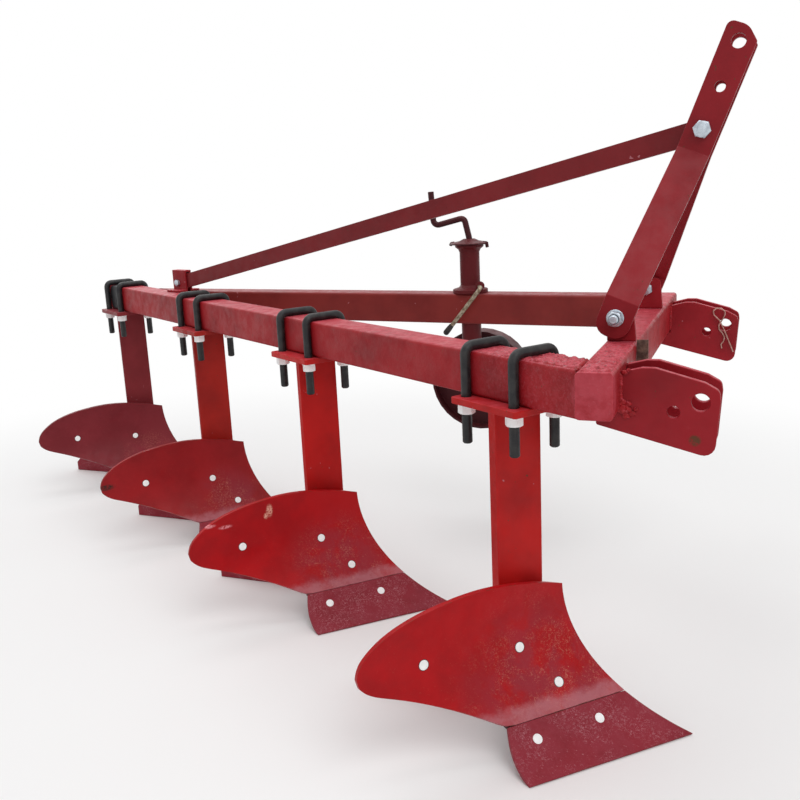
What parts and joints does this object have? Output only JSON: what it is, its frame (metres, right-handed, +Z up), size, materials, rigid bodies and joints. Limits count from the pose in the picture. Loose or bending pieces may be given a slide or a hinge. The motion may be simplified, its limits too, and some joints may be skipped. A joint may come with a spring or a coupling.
{
  "type": "mounted mouldboard plough",
  "caption": "Mounted right-turning mouldboard plough with a slanting beam, stepped bodies, a three-point mast and a depth wheel.",
  "frame": {"origin": "on the ground under the middle of the box around the whole plough", "axes": "+X forward to the tractor, +Y left, +Z up"},
  "size_m": [2.3287, 1.4883, 1.2276],
  "materials": {
    "frame_red": "worn satin",
    "shaded_red": "worn satin",
    "soil_worn_red": "scuffed",
    "clamp_black": "satin",
    "bare_steel": "dull"
  },
  "bodies": {
    "plough": {"cross_beam": "frame_red", "main_beam": "frame_red", "left_beam": "frame_red", "right_link_plate_right": "frame_red", "right_link_plate_left": "frame_red", "left_link_plate_right": "frame_red", "left_link_plate_left": "frame_red", "mast_bar_right": "frame_red", "mast_bar_left": "frame_red", "mast_foot_right": "frame_red", "mast_foot_left": "frame_red", "mast_brace": "frame_red", "brace_bracket": "frame_red", "front_standard": "frame_red", "front_clamp_bolt_front": "clamp_black", "front_clamp_bolt_rear": "clamp_black", "front_mouldboard": "frame_red", "front_share": "soil_worn_red", "front_frog": "shaded_red", "front_landside": "soil_worn_red", "second_standard": "frame_red", "second_clamp_bolt_front": "clamp_black", "second_clamp_bolt_rear": "clamp_black", "second_mouldboard": "frame_red", "second_share": "soil_worn_red", "second_frog": "shaded_red", "second_landside": "soil_worn_red", "third_standard": "frame_red", "third_clamp_bolt_front": "clamp_black", "third_clamp_bolt_rear": "clamp_black", "third_mouldboard": "frame_red", "third_share": "soil_worn_red", "third_frog": "shaded_red", "third_landside": "soil_worn_red", "rear_standard": "frame_red", "rear_clamp_bolt_front": "clamp_black", "rear_clamp_bolt_rear": "clamp_black", "rear_mouldboard": "frame_red", "rear_share": "soil_worn_red", "rear_frog": "shaded_red", "rear_landside": "soil_worn_red", "depth_sleeve": "shaded_red", "depth_cap": "shaded_red", "depth_crank": "shaded_red", "depth_lock": "bare_steel"},
    "depth_leg": {"depth_post": "shaded_red", "depth_axle": "shaded_red"},
    "gauge_wheel": {"depth_wheel": "shaded_red"}
  },
  "joints": [
    {"name": "depth_wheel_height", "type": "slide", "parent": "plough", "child": "depth_leg", "axis": [0, 0, 1], "range_m": [-0.12, 0.06]},
    {"name": "depth_wheel_spin", "type": "hinge", "parent": "depth_leg", "child": "gauge_wheel", "pos_m": [0.4564, 0.5048, 0.431], "axis": [0, 1, 0], "continuous": true}
  ]
}
